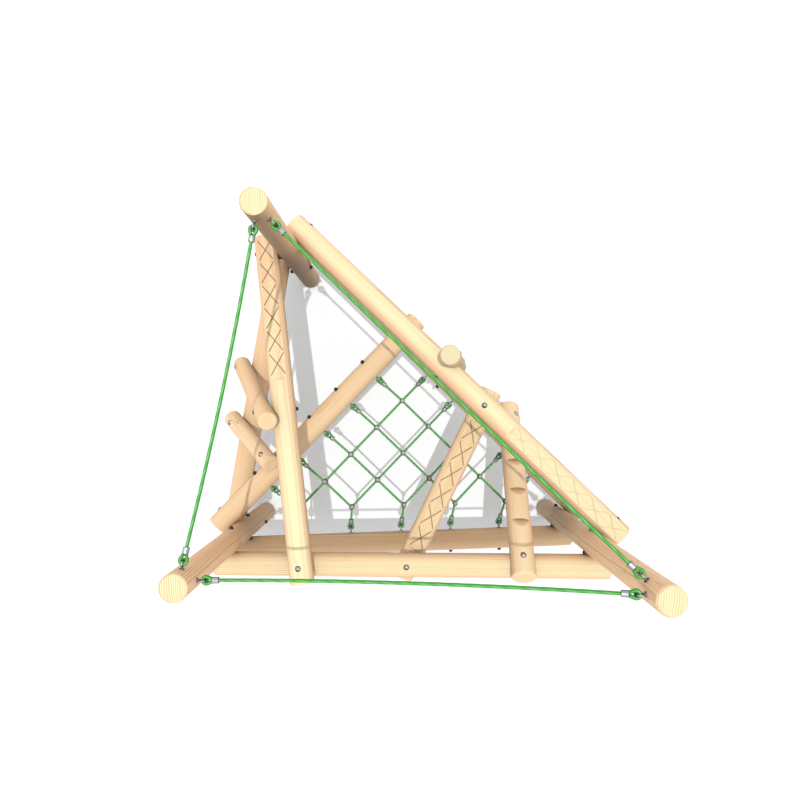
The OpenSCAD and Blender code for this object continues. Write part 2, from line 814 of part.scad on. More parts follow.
// Cap nut with a blind bore, on the seat at p and pointing along d
module cap_nut(p, d) {
    r = nut_d / 2;
    rim = nut_h - r;
    bore_r = bolt_d / 2 + seat_air;
    color(steel)
        multmatrix(place(p + d * seat_air, d, side_of(d)))
            difference() {
                union() {
                    cylinder(h = rim, r = r);
                    intersection() {
                        translate([0, 0, rim])
                            sphere(r);
                        cylinder(h = nut_h + 1, r = r);
                    }
                }
                translate([0, 0, -1])
                    cylinder(h = nut_grip + 1.5, r = bore_r);
            }
}

module bolt_nuts(bolts) {
    for (b = bolts)
        if (b[2])
            cap_nut(b[1], unit(b[1] - b[0]));
}

module post_bolts() {
    for (b = post_bolt_list)
        bolt(b);
}

module post_bolt_nuts() {
    bolt_nuts(post_bolt_list);
}

module log_bolts() {
    for (b = log_bolt_list)
        bolt(b);
}

module log_bolt_nuts() {
    bolt_nuts(log_bolt_list);
}

// ---- rope ends ----
module eye_bolts(eyes) {
    color(steel)
        for (e = eyes) {
            seat = e[0] + e[1] * (collar_seat(e[2]) + seat_air);
            eye = e[0] + e[1] * eye_centre(e[2]);
            rod(seat, seat + e[1] * collar_h, collar_d / 2);
            rod(
                eye_nut_seat(e) - e[1] * nut_grip,
                eye - e[1] * (eye_r - eye_wire_d / 4),
                bolt_d / 2
            );
            // The eye stands upright, so that the thimble in it lies level
            multmatrix(place(eye, cross(e[1], up), e[1]))
                rotate_extrude()
                    translate([eye_r, 0])
                        circle(eye_wire_d / 2);
        }
}

module eye_nuts(eyes) {
    for (e = eyes)
        cap_nut(eye_nut_seat(e), -e[1]);
}

// Route of a rope round its thimble, from the face of the ferrule and back to it. Its ends
// run straight for a short way, square to the ferrule.
function loop_route(end, rope_r) =
    let (
        big = loop_r(rope_r),
        run = loop_l(rope_r),
        side = rope_r + 0.1,
        turn = atan2(side, run) + acos(big / norm([run, side])),
        x = end[1],
        y = cross(end[2], end[1]),
        bend = [
            for (k = [0 : loop_steps])
                let (a = turn + (360 - 2 * turn) * k / loop_steps)
                [big * cos(a), big * sin(a)]
        ],
        straight = rope_r / 2
    )
    [
        for (p = concat(
            [[run, side], [run - straight, side]],
            bend,
            [[run - straight, -side], [run, -side]]
        ))
            end[0] + x * p.x + y * p.y
    ];

// Channelled ring that lines the bight
module thimble(end, rope_r) {
    half = thimble_half(rope_r);
    color(steel)
        difference() {
            multmatrix(place(end[0], end[2], end[1]))
                difference() {
                    translate([0, 0, -half])
                        cylinder(h = 2 * half, r = loop_r(rope_r) - 0.4 * rope_r);
                    translate([0, 0, -half - 1])
                        cylinder(h = 2 * half + 2, r = thimble_hole_r);
                    rotate_extrude()
                        translate([loop_r(rope_r), 0])
                            circle(rope_r + seat_gap);
                }
        }
}

// Pressed ferrule behind the bight, with its edges broken
module ferrule(end, rope_r, ferrule_l) {
    r = 2 * rope_r;
    e = rope_r / 4;
    color(steel)
        multmatrix(place(end[0] + end[1] * loop_l(rope_r), end[1], end[2]))
            rotate_extrude()
                polygon([
                    [0, 0], [r - e, 0], [r, e],
                    [r, ferrule_l - e], [r - e, ferrule_l], [0, ferrule_l]
                ]);
}

// A rope along a list of points, as one faceted tube
module tube(points, r) {
    last = len(points) - 1;
    rings = [
        for (k = [0 : last])
            let (
                d = unit(points[min(k + 1, last)] - points[max(k - 1, 0)]),
                side = unit(cross(d, up)),
                over = cross(side, d)
            )
            for (s = [0 : tube_sides - 1])
                let (a = 360 * (s + 0.5) / tube_sides)
                points[k] + (side * cos(a) + over * sin(a)) * r
    ];
    walls = [
        for (k = [0 : last - 1]) for (s = [0 : tube_sides - 1])
            let (
                a = k * tube_sides + s,
                b = k * tube_sides + (s + 1) % tube_sides
            )
            each [[a, b, b + tube_sides], [a, b + tube_sides, a + tube_sides]]
    ];
    top = last * tube_sides;
    caps = [
        for (s = [1 : tube_sides - 2])
            each [[0, s + 1, s], [top, top + s, top + s + 1]]
    ];
    polyhedron(rings, concat(walls, caps));
}

module hand_rope_solid(rope) {
    a = hand_end(rope, 0);
    b = hand_end(rope, 1);
    from = ferrule_end(a, hand_r, hand_ferrule_l);
    to = ferrule_end(b, hand_r, hand_ferrule_l);
    t0 = norm(from - a[0]) / norm(b[0] - a[0]);
    color(green) {
        tube(loop_route(a, hand_r), hand_r);
        tube(loop_route(b, hand_r), hand_r);
        tube(concat(
            [from],
            [
                for (k = [1 : rope_rings - 1])
                    rope_point(rope, t0 + (1 - 2 * t0) * k / rope_rings)
            ],
            [to]
        ), hand_r);
    }
}

module left_hand_rope() {
    hand_rope_solid(left_rope);
}

module right_hand_rope() {
    hand_rope_solid(right_rope);
}

module front_hand_rope() {
    hand_rope_solid(front_rope);
}

module hand_rope_thimbles() {
    for (end = hand_end_list)
        thimble(end, hand_r);
}

module hand_rope_ferrules() {
    for (end = hand_end_list)
        ferrule(end, hand_r, hand_ferrule_l);
}

module hand_rope_eye_bolts() {
    eye_bolts(hand_eye_list);
}

module hand_rope_nuts() {
    eye_nuts(hand_eye_list);
}

// ---- net ----
// The rope from the net log runs through row i and ends in its last clamp
function over_route(i) = concat(
    [ferrule_end(net_end_list[i], net_r, net_ferrule_l)],
    [for (j = [0 : net_rows - 1 - i]) knot(i, j) + layer]
);
// The rope from the lower right beam runs through row j and on to the lower front beam
function under_route(j) = concat(
    [ferrule_end(net_end_list[net_rows + j], net_r, net_ferrule_l)],
    [for (i = [0 : net_rows - 1 - j]) knot(i, j) - layer],
    [ferrule_end(net_end_list[2 * net_rows + j], net_r, net_ferrule_l)]
);
// The end of the upper rope reaches past the last knot, inside the clamp
function run_past(route, past) =
    let (last = len(route) - 1, d = unit(route[last] - route[last - 1]))
    [for (k = [0 : last]) k < last ? route[k] : route[k] + d * past];

module net_ropes() {
    color(dark_green) {
        for (i = [0 : net_rows - 1]) {
            tube(run_past(over_route(i), net_r), net_r);
            tube(under_route(i), net_r);
        }
        for (end = net_end_list)
            tube(loop_route(end, net_r), net_r);
    }
}

// Bore of a clamp from its middle m along the direction d, or both ways
module clamp_bore(m, d, back, ahead) {
    rod(m - unit(d) * back, m + unit(d) * ahead, net_r + clamp_gap);
}

// Puck at a knot, with a bore for each rope. In the last clamp of a row the lower rope bends
// towards its eye bolt and the upper rope ends.
module clamp(i, j) {
    over = over_route(i);
    under = under_route(j);
    m_over = over[j + 1];
    m_under = under[i + 1];
    half = net_rope_d + clamp_gap + clamp_wall;
    last = j == net_rows - 1 - i;
    color(steel)
        difference() {
            translate(knot(i, j) - up * half)
                cylinder(h = 2 * half, r = clamp_d / 2);
            if (last) {
                clamp_bore(m_under, under[i] - m_under, 0, clamp_d);
                clamp_bore(m_under, under[i + 2] - m_under, 0, clamp_d);
                translate(m_under)
                    sphere(net_r + clamp_gap + 0.5);
                clamp_bore(m_over, over[j] - m_over, net_r + clamp_gap, clamp_d);
            } else {
                clamp_bore(m_over, over[j + 2] - over[j], clamp_d, clamp_d);
                clamp_bore(m_under, under[i + 2] - under[i], clamp_d, clamp_d);
            }
        }
}

module net_clamps() {
    for (i = [0 : net_rows - 1])
        for (j = [0 : net_rows - 1 - i])
            clamp(i, j);
}

module net_thimbles() {
    for (end = net_end_list)
        thimble(end, net_r);
}

module net_ferrules() {
    for (end = net_end_list)
        ferrule(end, net_r, net_ferrule_l);
}

module net_eye_bolts() {
    eye_bolts(net_eye_list);
}

module net_nuts() {
    eye_nuts(net_eye_list);
}

front_left_post();
front_right_post();
back_post();
upper_front_beam();
lower_front_beam();
upper_right_beam();
lower_right_beam();
left_beam();
walking_log();
bridge_log();
ladder_log();
net_log();
tall_leaning_pole();
low_leaning_pole();
right_leaning_pole();
post_bolts();
post_bolt_nuts();
log_bolts();
log_bolt_nuts();
left_hand_rope();
right_hand_rope();
front_hand_rope();
hand_rope_thimbles();
hand_rope_ferrules();
hand_rope_eye_bolts();
hand_rope_nuts();
net_ropes();
net_clamps();
net_thimbles();
net_ferrules();
net_eye_bolts();
net_nuts();
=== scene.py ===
import math

import bpy
import numpy as np
from mathutils import Matrix, Vector


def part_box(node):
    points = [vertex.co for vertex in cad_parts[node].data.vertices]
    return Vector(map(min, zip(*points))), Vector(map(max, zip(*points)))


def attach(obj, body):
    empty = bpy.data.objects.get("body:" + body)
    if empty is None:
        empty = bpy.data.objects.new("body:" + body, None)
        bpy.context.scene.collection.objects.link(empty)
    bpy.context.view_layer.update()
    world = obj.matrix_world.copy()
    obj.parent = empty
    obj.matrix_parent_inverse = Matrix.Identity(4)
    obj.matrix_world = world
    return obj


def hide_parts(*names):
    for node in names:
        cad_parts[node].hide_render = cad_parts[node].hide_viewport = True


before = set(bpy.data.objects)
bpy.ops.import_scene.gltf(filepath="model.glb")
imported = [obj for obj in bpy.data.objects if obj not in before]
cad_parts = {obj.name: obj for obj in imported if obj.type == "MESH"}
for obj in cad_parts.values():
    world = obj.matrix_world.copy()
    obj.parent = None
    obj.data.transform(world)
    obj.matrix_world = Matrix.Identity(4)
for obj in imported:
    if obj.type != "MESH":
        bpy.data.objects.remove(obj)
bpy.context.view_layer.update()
scene = bpy.context.scene
scene.view_settings.view_transform = "Standard"
up = Vector((0, 0, 1))
white = (1.0, 1.0, 1.0, 1)
black = (0, 0, 0, 1)
print("frame:", len(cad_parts), "nodes")


class Val:  # an output of a shader node, with the usual operators
    def __init__(self, shader, socket):
        self.shader = shader
        self.socket = socket

    def math(self, operation, *others):
        return self.shader.math(operation, self, *others)

    def wave(self, length):  # runs between 0 and 1, once in each length
        return (self * (2 * math.pi / length)).math("SINE") * 0.5 + 0.5

    def __add__(self, other):
        return self.math("ADD", other)

    __radd__ = __add__

    def __sub__(self, other):
        return self.math("SUBTRACT", other)

    def __rsub__(self, other):
        return self.shader.math("SUBTRACT", other, self)

    def __mul__(self, other):
        return self.math("MULTIPLY", other)

    __rmul__ = __mul__

    def __truediv__(self, other):
        return self.math("DIVIDE", other)

    def __pow__(self, other):
        return self.math("POWER", other)

    def __abs__(self):
        return self.math("ABSOLUTE")


class Shader:  # the nodes of a material or of the sky, and the few ways in which they are added
    def __init__(self, owner):
        self.owner = owner
        owner.use_nodes = True
        self.tree = owner.node_tree
        self.tree.nodes.clear()

    def node(self, kind, settings=(), sockets=(), output=0):
        made = self.tree.nodes.new(kind)
        for key, value in dict(settings).items():
            setattr(made, key, value)
        for key, value in dict(sockets).items():
            if isinstance(value, Val):
                self.tree.links.new(value.socket, made.inputs[key])
            else:
                made.inputs[key].default_value = value
        return Val(self, made.outputs[output]) if made.outputs else None

    def math(self, operation, *values):
        return self.node("ShaderNodeMath", {"operation": operation}, enumerate(values))

    def ray(self, name):
        return Val(self, self.tree.nodes.new("ShaderNodeLightPath").outputs[name])

    def seen(self):  # 1 for the camera and for what mirrors or lets through, 0 for light
        straight = self.ray("Is Camera Ray").math("MAXIMUM", self.ray("Is Glossy Ray"))
        return straight.math("MAXIMUM", self.ray("Is Transmission Ray"))

    def place(self):  # metres in the frame
        return self.node("ShaderNodeTexCoord", (), (), 3)

    def facing(self, direction):  # 1 where the surface faces this way, -1 where it faces away
        normal = self.node("ShaderNodeTexCoord", (), (), 1)
        return self.vector("DOT_PRODUCT", normal, direction, 1)

    def step(self, value, low, high):  # 0 below low, 1 above high, smooth between
        return self.node(
            "ShaderNodeMapRange",
            {"interpolation_type": "SMOOTHSTEP"},
            {"Value": value, "From Min": low, "From Max": high},
        )

    def noise(self, vector, scale, detail=2.0, roughness=0.5):
        sockets = {
            "Vector": vector, "Scale": scale, "Detail": detail, "Roughness": roughness
        }
        return self.node("ShaderNodeTexNoise", (), sockets)

    def vector(self, operation, a, b, output=0):
        return self.node(
            "ShaderNodeVectorMath", {"operation": operation}, {0: a, 1: b}, output
        )

    def mix(self, factor, a, b, blend="MIX"):  # 6, 7 and 2 are this node's colour sockets
        settings = {"data_type": "RGBA", "blend_type": blend}
        return self.node("ShaderNodeMix", settings, {0: factor, 6: a, 7: b}, 2)

    def parts(self, vector):
        made = self.node("ShaderNodeSeparateXYZ", (), {0: vector}).socket.node
        return [Val(self, made.outputs[k]) for k in range(3)]

    def bump(self, height, distance, strength=1.0):
        sockets = {"Height": height, "Distance": distance, "Strength": strength}
        return self.node("ShaderNodeBump", (), sockets)

    def surface(self, sockets):
        shader = self.node("ShaderNodeBsdfPrincipled", (), sockets)
        self.node("ShaderNodeOutputMaterial", (), {"Surface": shader})
        return self.owner


cameraPlace = {
    "position": (1.0645, 0.8603, 4.897),  # metres; it looks straight down
    "turn": -0.76,  # degrees round the vertical
    "lens": 28.0,  # millimetres
    "sensor": 36.0,
    "farthest": 200,  # metres
}

studio = {
    "sunStrength": 1.42,  # from straight above
    "sunWidth": 0.5,  # degrees; softens the shadow's edges
    "sunPlace": (1, 1, 8),
    "skyStrength": 0.72,
    "floorSize": 60.0,
    "floorMiddle": (1, 1),
    "floorColour": (0.955, 0.975, 0.985, 1),  # as the camera or a shiny surface sees it
    "floorBounce": white,  # as the object sees it
    "glowColour": (0.95, 1.0, 1.06, 1),  # added where the camera or a shiny surface looks
    "glowStrength": 0.095,
}


def makeCamera(place):
    data = bpy.data.cameras.new("camera")
    data.lens = place["lens"]
    data.sensor_width = place["sensor"]
    data.clip_end = place["farthest"]
    camera = bpy.data.objects.new("camera", data)
    camera.location = place["position"]
    camera.rotation_euler = (0, 0, math.radians(place["turn"]))
    scene.collection.objects.link(camera)
    scene.camera = camera


def makeSun(values):
    data = bpy.data.lights.new("sun", "SUN")
    data.energy = values["sunStrength"]
    data.angle = math.radians(values["sunWidth"])
    sun = bpy.data.objects.new("sun", data)
    sun.location = values["sunPlace"]
    scene.collection.objects.link(sun)


def makeSky(values):  # it lights the object, and is plain white where it is seen
    sky = bpy.data.worlds.new("sky")
    scene.world = sky
    s = Shader(sky)
    lit = s.node("ShaderNodeBackground", (), {"Color": white, "Strength": values["skyStrength"]})
    plain = s.node("ShaderNodeBackground", (), {"Color": white})
    mixed = s.node("ShaderNodeMixShader", (), {0: s.seen(), 1: lit, 2: plain})
    s.node("ShaderNodeOutputWorld", (), {"Surface": mixed})


def makeFloor(values):
    middle = values["floorMiddle"]
    half = values["floorSize"] / 2
    corners = ((-1, -1), (1, -1), (1, 1), (-1, 1))
    mesh = bpy.data.meshes.new("floor")
    mesh.from_pydata(
        [(middle[0] + x * half, middle[1] + y * half, 0) for x, y in corners],
        [], [(0, 1, 2, 3)],
    )
    s = Shader(bpy.data.materials.new("floorPaint"))
    seen = s.seen()
    paint = s.surface(
        {
            "Base Color": s.mix(seen, values["floorBounce"], values["floorColour"]),
            "Roughness": 1.0,
            "Specular IOR Level": 0.0,
            "Emission Color": s.mix(seen, black, values["glowColour"]),
            "Emission Strength": values["glowStrength"],
        }
    )
    mesh.materials.append(paint)
    floor = bpy.data.objects.new("floor", mesh)
    scene.collection.objects.link(floor)


woodLook = {
    "pale": (0.97, 0.70, 0.45, 1),
    "warm": (0.955, 0.61, 0.345, 1),
    "paintedLitTone": (0.985, 0.90, 0.56, 1),  # painted light: the upper sides, lighter where light falls
    "line": (0.60, 0.285, 0.125, 1),  # late wood
    "paintedLitLine": (0.82, 0.61, 0.32, 1),  # late wood on the painted-lit upper sides
    # cracks, and the painted shade in and along the crossed cuts
    "groove": (0.26, 0.14, 0.06, 1),
    "cut": (0.52, 0.29, 0.15, 1),  # end grain inside the notches, darker wood with painted shade
    # painted shade on a side that faces away from the light
    "paintedShadeTone": (0.12, 0.08, 0.047, 1),
    "paintedLowShade": (0.45, 0.5, 0.55, 1),  # painted shade on the posts' lower halves and on the logs' lower sides
    "footEnd": 1.25,  # height where the posts' lower halves end
    "footFade": 0.5,  # length over which that tone ends
    "under": 0.7,  # how much of that tone the logs' lower sides have
    "bounce": 0.5,  # share of its colour that the wood throws on what is near
    "ringWidth": 0.0105,
    "ringBand": 3.3,  # rings in each broad band
    "lateSharp": 2.2,  # how narrow the late wood of a ring is
    "lateLeast": 0.35,  # the faintest ring; the others are between this and 1
    "heart": 0.3,  # distance of the tree's heart from the log's own middle
    "wander": 0.016,  # how far the rings wander along the log
    "waver": 0.006,  # and how uneven they are
    "toneWarm": 0.5,  # how much the slow tone and the bands of rings warm the colour
    "bandWarm": 0.3,
    "lateLine": 0.55,  # how plain the late wood, the fibres, the cracks and the ticks are
    "fibreLine": 0.16,
    "crackLine": 0.45,
    "tickLine": 0.7,
    "paintedLightMost": 0.95,
    "bandPale": 0.18,  # how plain bands and late wood are where the upper side has painted light
    "latePale": 0.45,
    "lateEnd": 0.6,  # added to that on end grain
    "cutLine": 0.9,
    "roughness": 0.62,
    "fibreRough": 0.12,
    "lateSmooth": 0.08,
    "endRough": 0.15,
    "shine": 0.3,
    "bumpDepth": 0.0012,
    "bumpStrength": 0.7,
    "fibreHeight": 0.25,  # shares of that depth
    "lateHeight": 0.25,
    "crackHeight": 1.5,
    "markHeight": 0.5,  # of the marks on a flat
}

# Where a mask starts and where it is whole
woodRamps = {
    "endFace": (0.85, 0.97),  # how far a surface faces along the log
    "tone": (0.3, 0.7),
    "streaks": (0.55, 0.8),
    "fibres": (0.5, 0.85),
    "crackWidth": (0.006, 0.018),  # share of a crack's cell
    "cracked": (0.6, 0.68),
    "paintedLight": (0.35, 0.93),  # how far up a surface faces, for the painted light
    "shaded": (0.2, 0.65),
    "notch": (0.015, 0.02),  # metres from the log's ends, whose faces aren't notches
    "sawRim": (0.058, 0.061),  # metres from the middle of a post's top
    "sawSide": (0.0, 0.02),
    "sawTop": (0.2, 0.4),
    "ticks": (0.2, 0.6),
    "paintedShadeSide": (-0.9, 0.8),
    "paintedShadeTop": (0.2, 0.7),  # tops get none of that painted shade
    "under": (-0.05, 0.6),
}

# Noise cells for each metre, across a log and along it
woodCells = {
    "wander": (5, 1.1),
    "waver": (16, 3.2),
    "fibres": (330, 5),
    "streaks": (70, 1.2),
    "tone": (7, 1.6),
    "cracks": (34, 1.6),
    "cracked": (9, 2.4),
}

# Flats with crossed anti-slip cuts; lengths in metres
flatSizes = {
    "logRadius": 0.0725,
    "crosses": 6,
    "crossPitch": 0.146,
    "crossAngle": 34,  # degrees
    "armReach": 0.0685,  # along the log, from a cross's middle to the ends of its arms
    "endGap": 0.004,
    "cutDepth": (0.0012, 0.0004),  # a face this far below the flat is in a cut, or isn't
    "deepest": 0.0045,  # what lies further below isn't part of the flat
    "ripplePitch": 0.0085,
    "rippleCells": (60, 60, 60),
    "broken": (0.45, 0.6),  # ripples are only where their noise is above these
    "ribPitch": 0.0095,
    "markLine": 0.22,  # how plain ripples and ribs are
    "edge": 0.001,  # softness of an edge
}

# "from" and "to" are the ends of a log's middle line, as in the part's source. Of its looks,
# heart is the side that faces the heart of the tree, in degrees round the log;
# figure is how plain the year rings are, and warmth goes from pale to warm;
# bleach is how much painted light the upper side has at the log's start and end, less where
# other parts shade it;
# edge is how far up a surface has to face for that, from none to all;
# ticks are the saw's marks round a post's top;
# foot and under are how much painted shade a post's lower half and a log's lower side have;
# shaded is the direction whose side gets no painted light, so it stays painted darker;
# weather is the direction whose side is painted in shade, and how much;
# flat is its depth, and its start and end along the log;
# firstCross is the place of the first crossed cut, stain is half the width of the painted shade
# along it and groove that shade's tone;
# ribs and ripples are the tone of the fine marks along and across the flat
logs = {
    "front_left_post": {
        "from": (0, 0, 0), "to": (0, 0, 2.02), "heart": 2,
        "figure": 1.6, "warmth": 0.41, "edge": (0.6, 0.75), "ticks": 58, "foot": 0.65,
    },
    "front_right_post": {
        "from": (2.194, 0, 0), "to": (2.194, 0, 2.295), "heart": 178,
        "figure": 1.4, "warmth": 0.09, "edge": (0.6, 0.75), "ticks": 58, "foot": 0.85,
    },
    "back_post": {
        "from": (0.375, 1.821, 0), "to": (0.375, 1.821, 1.93), "heart": 4,
        "figure": 1.2, "edge": (0.6, 0.75), "ticks": 58, "foot": 0.7,
        "paintedShadeSide": ((-0.707, -0.707, 0), 0.7),
    },
    "upper_front_beam": {
        "from": (-0.095, -0.1405, 1.0201), "to": (2.289, -0.1405, 1.2189), "heart": 260,
        "paintedLight": (0.55, 0.7), "figure": 1.6,
    },
    "lower_front_beam": {
        "from": (-0.095, -0.1405, 0.6102), "to": (2.289, -0.1405, 0.3548), "heart": 95,
        "paintedLight": (0.15, 0.15), "figure": 1.2, "under": 0.9,
    },
    "upper_right_beam": {
        "from": (2.3605, 0.0321, 1.2222), "to": (0.4073, 1.9875, 0.9558), "heart": 250,
        "flat": (0.016, -1, 0.9), "firstCross": 0.085, "cutShadeBand": 0.0025, "ribs": 1.2,
        "groove": 0.0, "figure": 1.3, "shaded": (-0.707, -0.707, 0),
        "paintedShadeSide": ((-0.707, -0.707, 0), 0.35),
    },
    "lower_right_beam": {
        "from": (2.3605, 0.0321, 0.4211), "to": (0.4073, 1.9875, 0.5339), "heart": 80,
        "paintedLight": (0.45, 0.45),
    },
    "left_beam": {
        "from": (0.2565, 1.9424, 0.5277), "to": (-0.1568, -0.0647, 0.3623), "heart": 275,
        "paintedLight": (0.1, 0.25),
    },
    "walking_log": {
        "from": (0.2239, 1.903, 0.937), "to": (0.4737, -0.2182, 1.2175), "heart": 172,
        "flat": (0.016, -1, 0.935), "firstCross": 0.1025, "cutShadeBand": 0.0033, "ripples": 1.0,
        "groove": 0.8, "paintedLight": (0.1, 1.3), "figure": 1.2,
    },
    "bridge_log": {
        "from": (1.6371, 0.9122, 0.9753), "to": (1.0565, -0.2471, 0.9804), "heart": 185,
        "flat": (0.016, 0.19, 1.12), "firstCross": 0.29, "cutShadeBand": 0.002, "ribs": 2.4,
        "groove": 0.7, "paintedLight": (0.5, 0.6),
    },
    "ladder_log": {
        "from": (1.8317, 0.8011, 0.4801), "to": (1.7678, -0.1791, 1.3039), "heart": 255,
        "paintedLight": (0.4, 0.55), "figure": 0.4,
    },
    "net_log": {
        "from": (-0.1631, 0.0344, 0.7427), "to": (1.1884, 1.4116, 0.5776), "heart": 98,
        "paintedLight": (0.25, 0.25), "figure": 1.2,
    },
    "tall_leaning_pole": {
        "from": (-0.0642, 1.1332, 0.4431), "to": (0.2901, 0.741, 1.2567), "heart": 200,
        "paintedLight": (0.4, 0.4), "figure": 0.5,
    },
    "low_leaning_pole": {
        "from": (-0.1329, 0.7535, 0.4679), "to": (0.2199, 0.451, 0.8442), "heart": 160,
        "paintedLight": (0.35, 0.35), "figure": 0.5,
    },
    "right_leaning_pole": {
        "from": (1.4866, 1.096, 0.4143), "to": (1.3483, 1.1105, 1.4115), "heart": 20,
        "paintedLight": (0.9, 0.9), "edge": (0.6, 0.75), "figure": 0.35, "foot": 0.6,
    },
}


def logAxes(values):  # z runs along the log; x points up, or the frame's way on an upright one
    along = (Vector(values["to"]) - Vector(values["from"])).normalized()
    side = Vector((1, 0, 0)) if abs(along.z) > 0.9 else up
    x = (side - side.dot(along) * along).normalized()
    return Matrix((x, along.cross(x), along)).transposed()


def flatMarks(s, x, y, z, moved, values, sizes):  # the painted shade in and along the crossed cuts, and the fine marks
    depth, low, high = values["flat"]
    radius = sizes["logRadius"]
    pitch = sizes["crossPitch"]
    edge = sizes["edge"]
    level = radius - depth
    halfWidth = math.sqrt(radius**2 - level**2)
    onFlat = s.step(x, level - sizes["deepest"], level - sizes["deepest"] + edge)
    onFlat = onFlat * s.step(z, low - edge, low) * (1 - s.step(z, high, high + edge))
    inside = 1 - s.step(abs(y), halfWidth - 3 * edge, halfWidth - edge)

    # both arms of a cross lie at an angle to the log, and the next cross is a pitch further on
    cell = ((z - values["firstCross"]) / pitch + 0.5).math("FRACT") - 0.5
    cell = abs(cell) * pitch
    slant = math.radians(sizes["crossAngle"])
    away = abs(abs(y) * math.cos(slant) - cell * math.sin(slant))
    # painted shade inside the crossed cuts and in a band along each arm
    cutShadeBand = 1 - s.step(away, values["cutShadeBand"] - edge, values["cutShadeBand"] + edge)
    deep, shallow = sizes["cutDepth"]
    cut = (1 - s.step(x, level - deep, level - shallow)).math("MAXIMUM", cutShadeBand)
    middle = values["firstCross"] + (sizes["crosses"] - 1) / 2 * pitch
    reach = sizes["crosses"] / 2 * pitch - sizes["endGap"]
    cut = cut * (1 - s.step(cell, sizes["armReach"], sizes["armReach"] + edge)) * onFlat * inside
    cut = cut * (1 - s.step(abs(z - middle), reach, reach + 2 * edge))

    if "ripples" in values:  # short marks of the plane, across the log
        broken = s.noise(s.vector("MULTIPLY", moved, sizes["rippleCells"]), 1.0, 1.0)
        marks = z.wave(sizes["ripplePitch"]) ** 3 * s.step(broken, *sizes["broken"])
        marks = marks * onFlat * inside * values["ripples"]
    else:  # fine ribs along the log
        marks = y.wave(sizes["ribPitch"]) ** 3 * onFlat * inside * values["ribs"]
    return cut, marks


